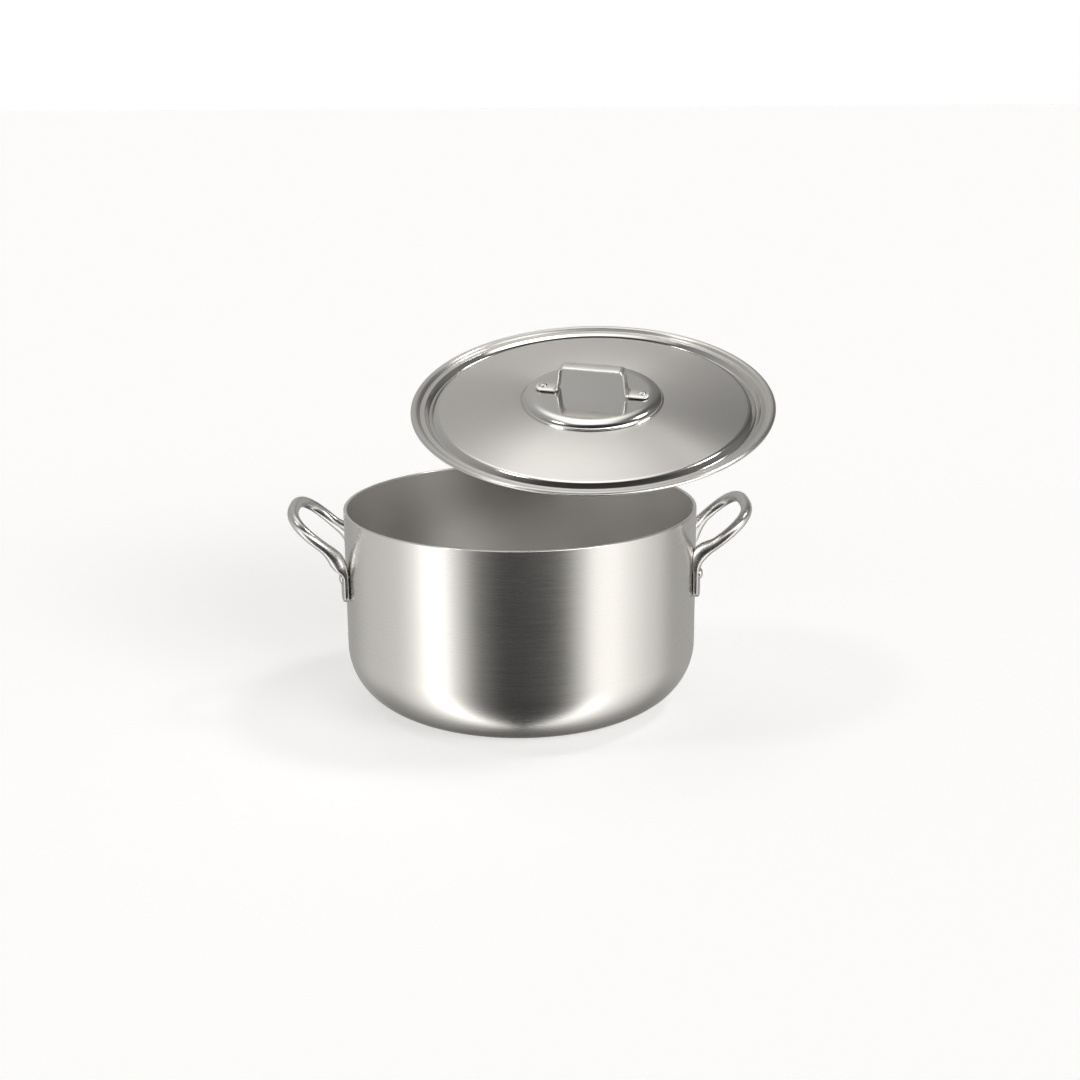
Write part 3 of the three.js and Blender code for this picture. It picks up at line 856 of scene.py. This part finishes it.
def turned_piece(name, outline, steps_round=STEPS_ROUND):
    """A turned piece whose zones carry their own finishes."""
    start, zones = outline_mesh(name + "_outline", outline)
    names = list(dict.fromkeys(finish for finish, _ in zones))
    piece = grown(name, start, TURNING, Steps_Round=steps_round, Finish=FINISHES[names[0]])
    mesh = piece.data
    for finish in names[1:]:
        mesh.materials.append(FINISHES[finish])
    ends = np.array([end for _, end in zones]) * MM
    slots = np.array([names.index(finish) for finish, _ in zones])
    uv = np.zeros(len(mesh.loops) * 2, np.float32)
    mesh.uv_layers["turning"].data.foreach_get("uv", uv)
    along = uv.reshape(-1, 2)[:, 1]
    starts = np.zeros(len(mesh.polygons), np.int32)
    totals = np.zeros(len(mesh.polygons), np.int32)
    mesh.polygons.foreach_get("loop_start", starts)
    mesh.polygons.foreach_get("loop_total", totals)
    middles = np.add.reduceat(along, starts) / totals
    mesh.polygons.foreach_set("material_index", slots[np.searchsorted(ends, middles).clip(0, len(slots) - 1)])
    mesh.update()
    return piece


def set_finish(piece, transform=None):
    if transform is not None:
        piece.data.transform(transform)
    piece.data.update()
    return piece


# ---------------------------------------------------------------- bars and straps

def skin_of_rings(name, rings, finish):
    """One closed skin over a row of rings with the same number of points, closed by a fan at each end."""
    rings = np.array(rings)
    count, around = rings.shape[:2]
    points = [tuple(p) for ring in rings for p in ring]
    points.append(tuple(rings[0].mean(0)))
    points.append(tuple(rings[-1].mean(0)))
    faces = []
    for i in range(count - 1):
        for j in range(around):
            k = (j + 1) % around
            faces.append((i * around + j, i * around + k, (i + 1) * around + k, (i + 1) * around + j))
    first, last = count * around, count * around + 1
    end = (count - 1) * around
    for j in range(around):
        k = (j + 1) % around
        faces.append((first, k, j))
        faces.append((last, end + j, end + k))
    mesh = bpy.data.meshes.new(name)
    mesh.from_pydata([Vector(p) * MM for p in points], [], faces)
    mesh.polygons.foreach_set("use_smooth", [True] * len(faces))
    mesh.materials.append(finish)
    mesh.update()
    piece = bpy.data.objects.new(name, mesh)
    bpy.context.scene.collection.objects.link(piece)
    return piece


def resampled(line, step):
    """Points an even step apart along a fine line."""
    line = np.array(line, float)
    lengths = np.concatenate([[0], np.cumsum(np.linalg.norm(np.diff(line, axis=0), axis=1))])
    count = max(int(lengths[-1] / step), 2)
    marks = np.linspace(0, lengths[-1], count + 1)
    return np.stack([np.interp(marks, lengths, line[:, i]) for i in range(line.shape[1])], 1), marks


def loop_point(share):
    """The middle of the bar on the loop of the +X handle; share runs from foot to foot."""
    angle = math.pi * (share - 0.5)
    power = 2 / LOOP_SQUARENESS
    out = LOOP_REACH * max(math.cos(angle), 0.0) ** power
    half = FOOT_HALF_SPACING + LOOP_FLARE * out
    across = math.copysign(half * abs(math.sin(angle)) ** power, angle)
    footing = (POT_RADIUS + BAR_DIAMETER / 2) * math.cos(FOOT_AZIMUTH)
    return np.array((footing + out * math.cos(LOOP_TILT), across, ARM_HEIGHT + out * math.sin(LOOP_TILT)))


def handle_line():
    """The bar's middle line: up the front pad, out round the loop and down the rear pad."""
    leave = 0.035
    pad_radius = POT_RADIUS + GAP + PAD_THICKNESS / 2
    foot = np.array((pad_radius * math.cos(FOOT_AZIMUTH), -pad_radius * math.sin(FOOT_AZIMUTH), 0.0))
    pad_low = foot + (0, 0, PAD_LOW)
    pad_high = foot + (0, 0, ARM_HEIGHT - 16.0)
    start = loop_point(leave)
    heading = loop_point(leave + 0.004) - start
    heading /= np.linalg.norm(heading)
    first, second = pad_high + (0, 0, 11.0), start - 9.0 * heading
    half = [pad_low + (pad_high - pad_low) * t for t in np.linspace(0, 1, 40)]
    for t in np.linspace(0, 1, 40)[1:]:
        half.append(
            (1 - t) ** 3 * pad_high
            + 3 * (1 - t) ** 2 * t * first
            + 3 * (1 - t) * t * t * second
            + t ** 3 * start
        )
    loop = [loop_point(s) for s in np.linspace(leave, 0.5, 160)[1:]]
    front = half + loop
    rear = [p * (1, -1, 1) for p in front[-2::-1]]
    return resampled(front + rear, 0.9)


def eased(value, low, high):
    t = np.clip((value - low) / (high - low), 0, 1)
    return t * t * (3 - 2 * t)


def loop_handle(name, side):
    """One loop handle. The bar is round on the loop and pressed flat at its feet, where it takes
    the curve of the wall; the ends of the feet are round."""
    line, marks = handle_line()
    tangents = np.gradient(line, axis=0)
    tangents /= np.linalg.norm(tangents, axis=1)[:, None]
    from_end = np.minimum(marks, marks[-1] - marks)
    front_width = np.array((math.sin(FOOT_AZIMUTH), math.cos(FOOT_AZIMUTH), 0.0))
    rear_width = np.array((-math.sin(FOOT_AZIMUTH), math.cos(FOOT_AZIMUTH), 0.0))
    widths = [front_width]
    for tangent in tangents[1:]:
        across = widths[-1] - tangent * (widths[-1] @ tangent)
        widths.append(across / np.linalg.norm(across))
    rear_out = np.cross(rear_width, tangents[-1])
    slip = math.atan2(widths[-1] @ rear_out, widths[-1] @ rear_width)
    round_part = (PAD_LENGTH, marks[-1] - PAD_LENGTH)
    around = 40
    turns = np.linspace(0, 2 * math.pi, around, endpoint=False)
    rings = []
    for point, tangent, width, mark, reach in zip(line, tangents, widths, marks, from_end):
        twist = slip * eased(mark, *round_part)
        outward = np.cross(width, tangent)
        width, outward = (
            width * math.cos(twist) - outward * math.sin(twist),
            outward * math.cos(twist) + width * math.sin(twist),
        )
        flat = 1 - eased(reach, PAD_LENGTH - 17.0, PAD_LENGTH + 7.0)
        half_width = BAR_DIAMETER / 2 + (PAD_WIDTH - BAR_DIAMETER) / 2 * flat
        half_depth = BAR_DIAMETER / 2 + (PAD_THICKNESS - BAR_DIAMETER) / 2 * flat
        root = eased(reach, PAD_LENGTH - 17.0, PAD_LENGTH - 4.0) * (
            1 - eased(reach, PAD_LENGTH - 2.0, PAD_LENGTH + 22.0)
        )
        half_depth += ROOT_SWELL / 2 * root
        half_width += ROOT_SWELL / 4 * root
        power = 2 / (2 + 1.6 * flat)
        toe = min(reach / (PAD_WIDTH / 2), 1.0)
        half_width *= math.sqrt(max(1 - (1 - toe) ** 2, 0.004))
        half_depth *= 0.45 + 0.55 * math.sqrt(min(reach / 1.6, 1.0))
        c, s = np.cos(turns), np.sin(turns)
        across = half_width * np.sign(c) * np.abs(c) ** power
        depth = half_depth * np.sign(s) * np.abs(s) ** power
        wrap = flat * (across ** 2) / (2 * POT_RADIUS)
        inward = ROOT_SWELL / 2 * root
        rings.append(point + np.outer(across, width) + np.outer(depth - wrap - inward, outward))
    rings = np.array(rings)
    reach = np.hypot(rings[..., 0], rings[..., 1])
    clear = (POT_RADIUS + GAP) / np.maximum(reach, 1e-6)
    rings[..., :2] *= np.maximum(clear, 1.0)[..., None]
    rings = rings[::-1]
    if side < 0:
        rings[..., :2] *= -1
    return skin_of_rings(name, rings, FINISHES["bar"])


def strap_line():
    """The strap's middle line in side view, foot to foot, with round bends."""
    foot_end = LID_RIVET_SPACING / 2 + STRAP_WIDTH / 2
    low = STRAP_THICKNESS / 2
    high = STRAP_HEIGHT - STRAP_THICKNESS / 2
    top_half = STRAP_TOP_LENGTH / 2
    corners = [
        (-foot_end, low), (-top_half - STRAP_LEG_SPREAD, low), (-top_half, high),
        (top_half, high), (top_half + STRAP_LEG_SPREAD, low), (foot_end, low),
    ]
    corners = [np.array(c) for c in corners]
    line = [corners[0]]
    for before, corner, after in zip(corners, corners[1:], corners[2:]):
        start = corner + (before - corner) / np.linalg.norm(before - corner) * STRAP_BEND
        end = corner + (after - corner) / np.linalg.norm(after - corner) * STRAP_BEND
        line += [(1 - t) ** 2 * start + 2 * (1 - t) * t * corner + t * t * end for t in np.linspace(0, 1, 13)]
    line.append(corners[-1])
    return resampled(line, 0.6)


def strap_handle(name, transform):
    """The bent strap: flat stock with rounded edges and round ends."""
    line, marks = strap_line()
    tangents = np.gradient(line, axis=0)
    tangents /= np.linalg.norm(tangents, axis=1)[:, None]
    half = STRAP_WIDTH / 2
    foot_length = LID_RIVET_SPACING / 2 + half - STRAP_TOP_LENGTH / 2 - STRAP_LEG_SPREAD
    around = 40
    turns = np.linspace(0, 2 * math.pi, around, endpoint=False) + math.pi / around
    power = 2 / 2.3
    c, s = np.cos(turns), np.sin(turns)
    across_unit = np.sign(c) * np.abs(c) ** power
    depth_unit = np.sign(s) * np.abs(s) ** power
    rings = []
    for point, tangent, reach in zip(line, tangents, np.minimum(marks, marks[-1] - marks)):
        toe = min(reach / half, 1.0)
        foot = 1 - eased(reach, foot_length - 2.0, foot_length + 8.0)
        width = (half + (STRAP_FOOT_WIDTH / 2 - half) * foot) * math.sqrt(max(1 - (1 - toe) ** 2, 0.004))
        depth = STRAP_THICKNESS / 2 * (0.5 + 0.5 * math.sqrt(min(reach / 0.9, 1.0)))
        normal = np.array((-tangent[1], tangent[0]))
        ring = np.zeros((around, 3))
        ring[:, 0] = point[0] + depth_unit * depth * normal[0]
        ring[:, 2] = point[1] + depth_unit * depth * normal[1] + BOSS_TOP + GAP
        ring[:, 1] = across_unit * width
        rings.append(ring)
    piece = skin_of_rings(name, rings, FINISHES["strap"])
    return set_finish(piece, transform)


# ---------------------------------------------------------------- the parts

def lid_place():
    """Where the lid is held: the seated lid, carried up its lifting arc from the lower limit."""
    lift = next(j for j in frame["joints"] if j["name"] == "lid_lift")
    pivot = Matrix.Translation(Vector(lift["pos_m"]))
    swing = Matrix.Rotation(-math.radians(lift["range_deg"][0]), 4, Vector(lift["axis"]))
    seat = Matrix.Translation((0, 0, (POT_HEIGHT + GAP) * MM))
    return pivot @ swing @ pivot.inverted() @ seat @ Matrix.Rotation(LID_TURN, 4, "Z")


def make_pot():
    shell = turned_piece("pot_body", pot_outline())
    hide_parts("pot_shell")
    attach(shell, "pot")
    for side, sign in (("right", 1), ("left", -1)):
        handle = loop_handle(f"loop_handle_{side}", sign)
        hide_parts(f"pot_handle_{side}")
        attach(handle, "pot")
    inner = POT_RADIUS - POT_WALL
    tail = POT_RIVET_TAIL / 2
    outline = rivet_outline(
        POT_RIVET_SHANK / 2, POT_RIVET_HEAD / 2, POT_RIVET_HEAD_HEIGHT, PAD_THICKNESS + 0.8 * GAP,
        tail, POT_RIVET_TAIL_HEIGHT, -POT_WALL - 0.1 - (inner - math.sqrt(inner ** 2 - tail ** 2)),
    )
    one = turned_piece("one_pot_rivet", outline, 40)
    one.data.transform(Matrix.Rotation(math.pi / 2, 4, "Y"))
    rivets = grown(
        "pot_rivets", one.data, RIVETING,
        Count=4, Wall_Radius=POT_RADIUS * MM, Foot_Azimuth=FOOT_AZIMUTH,
        Height=(PAD_LOW + POT_RIVET_RISE) * MM, Line_Spacing=0.0, Finish=FINISHES["rivet"],
    )
    bpy.data.objects.remove(one)
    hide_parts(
        *(f"pot_rivet_{side}_{place}" for side in ("right", "left") for place in ("front", "rear")),
    )
    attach(rivets, "pot")


def make_lid():
    place = lid_place()
    plate = set_finish(turned_piece("lid_pressing", lid_outline()), place)
    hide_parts("lid_plate")
    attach(plate, "lid")
    strap = strap_handle("lid_strap", place)
    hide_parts("lid_handle")
    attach(strap, "lid")
    outline = rivet_outline(
        LID_RIVET_SHANK / 2, LID_RIVET_HEAD / 2, LID_RIVET_HEAD_HEIGHT, STRAP_THICKNESS + 1.2 * GAP,
        LID_RIVET_HEAD / 2, LID_RIVET_HEAD_HEIGHT, -LID_SHEET - 0.1,
    )
    one = turned_piece("one_lid_rivet", outline, 40)
    rivets = grown(
        "lid_rivets", one.data, RIVETING,
        Count=2, Wall_Radius=0.0, Foot_Azimuth=0.0,
        Height=BOSS_TOP * MM, Line_Spacing=LID_RIVET_SPACING * MM, Finish=FINISHES["rivet"],
    )
    bpy.data.objects.remove(one)
    set_finish(rivets, place)
    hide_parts("lid_rivet_left", "lid_rivet_right")
    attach(rivets, "lid")


make_camera()
make_world()
make_floor()
make_pot()
make_lid()

bpy.context.scene.view_settings.view_transform = "Standard"

bpy.context.view_layer.update()
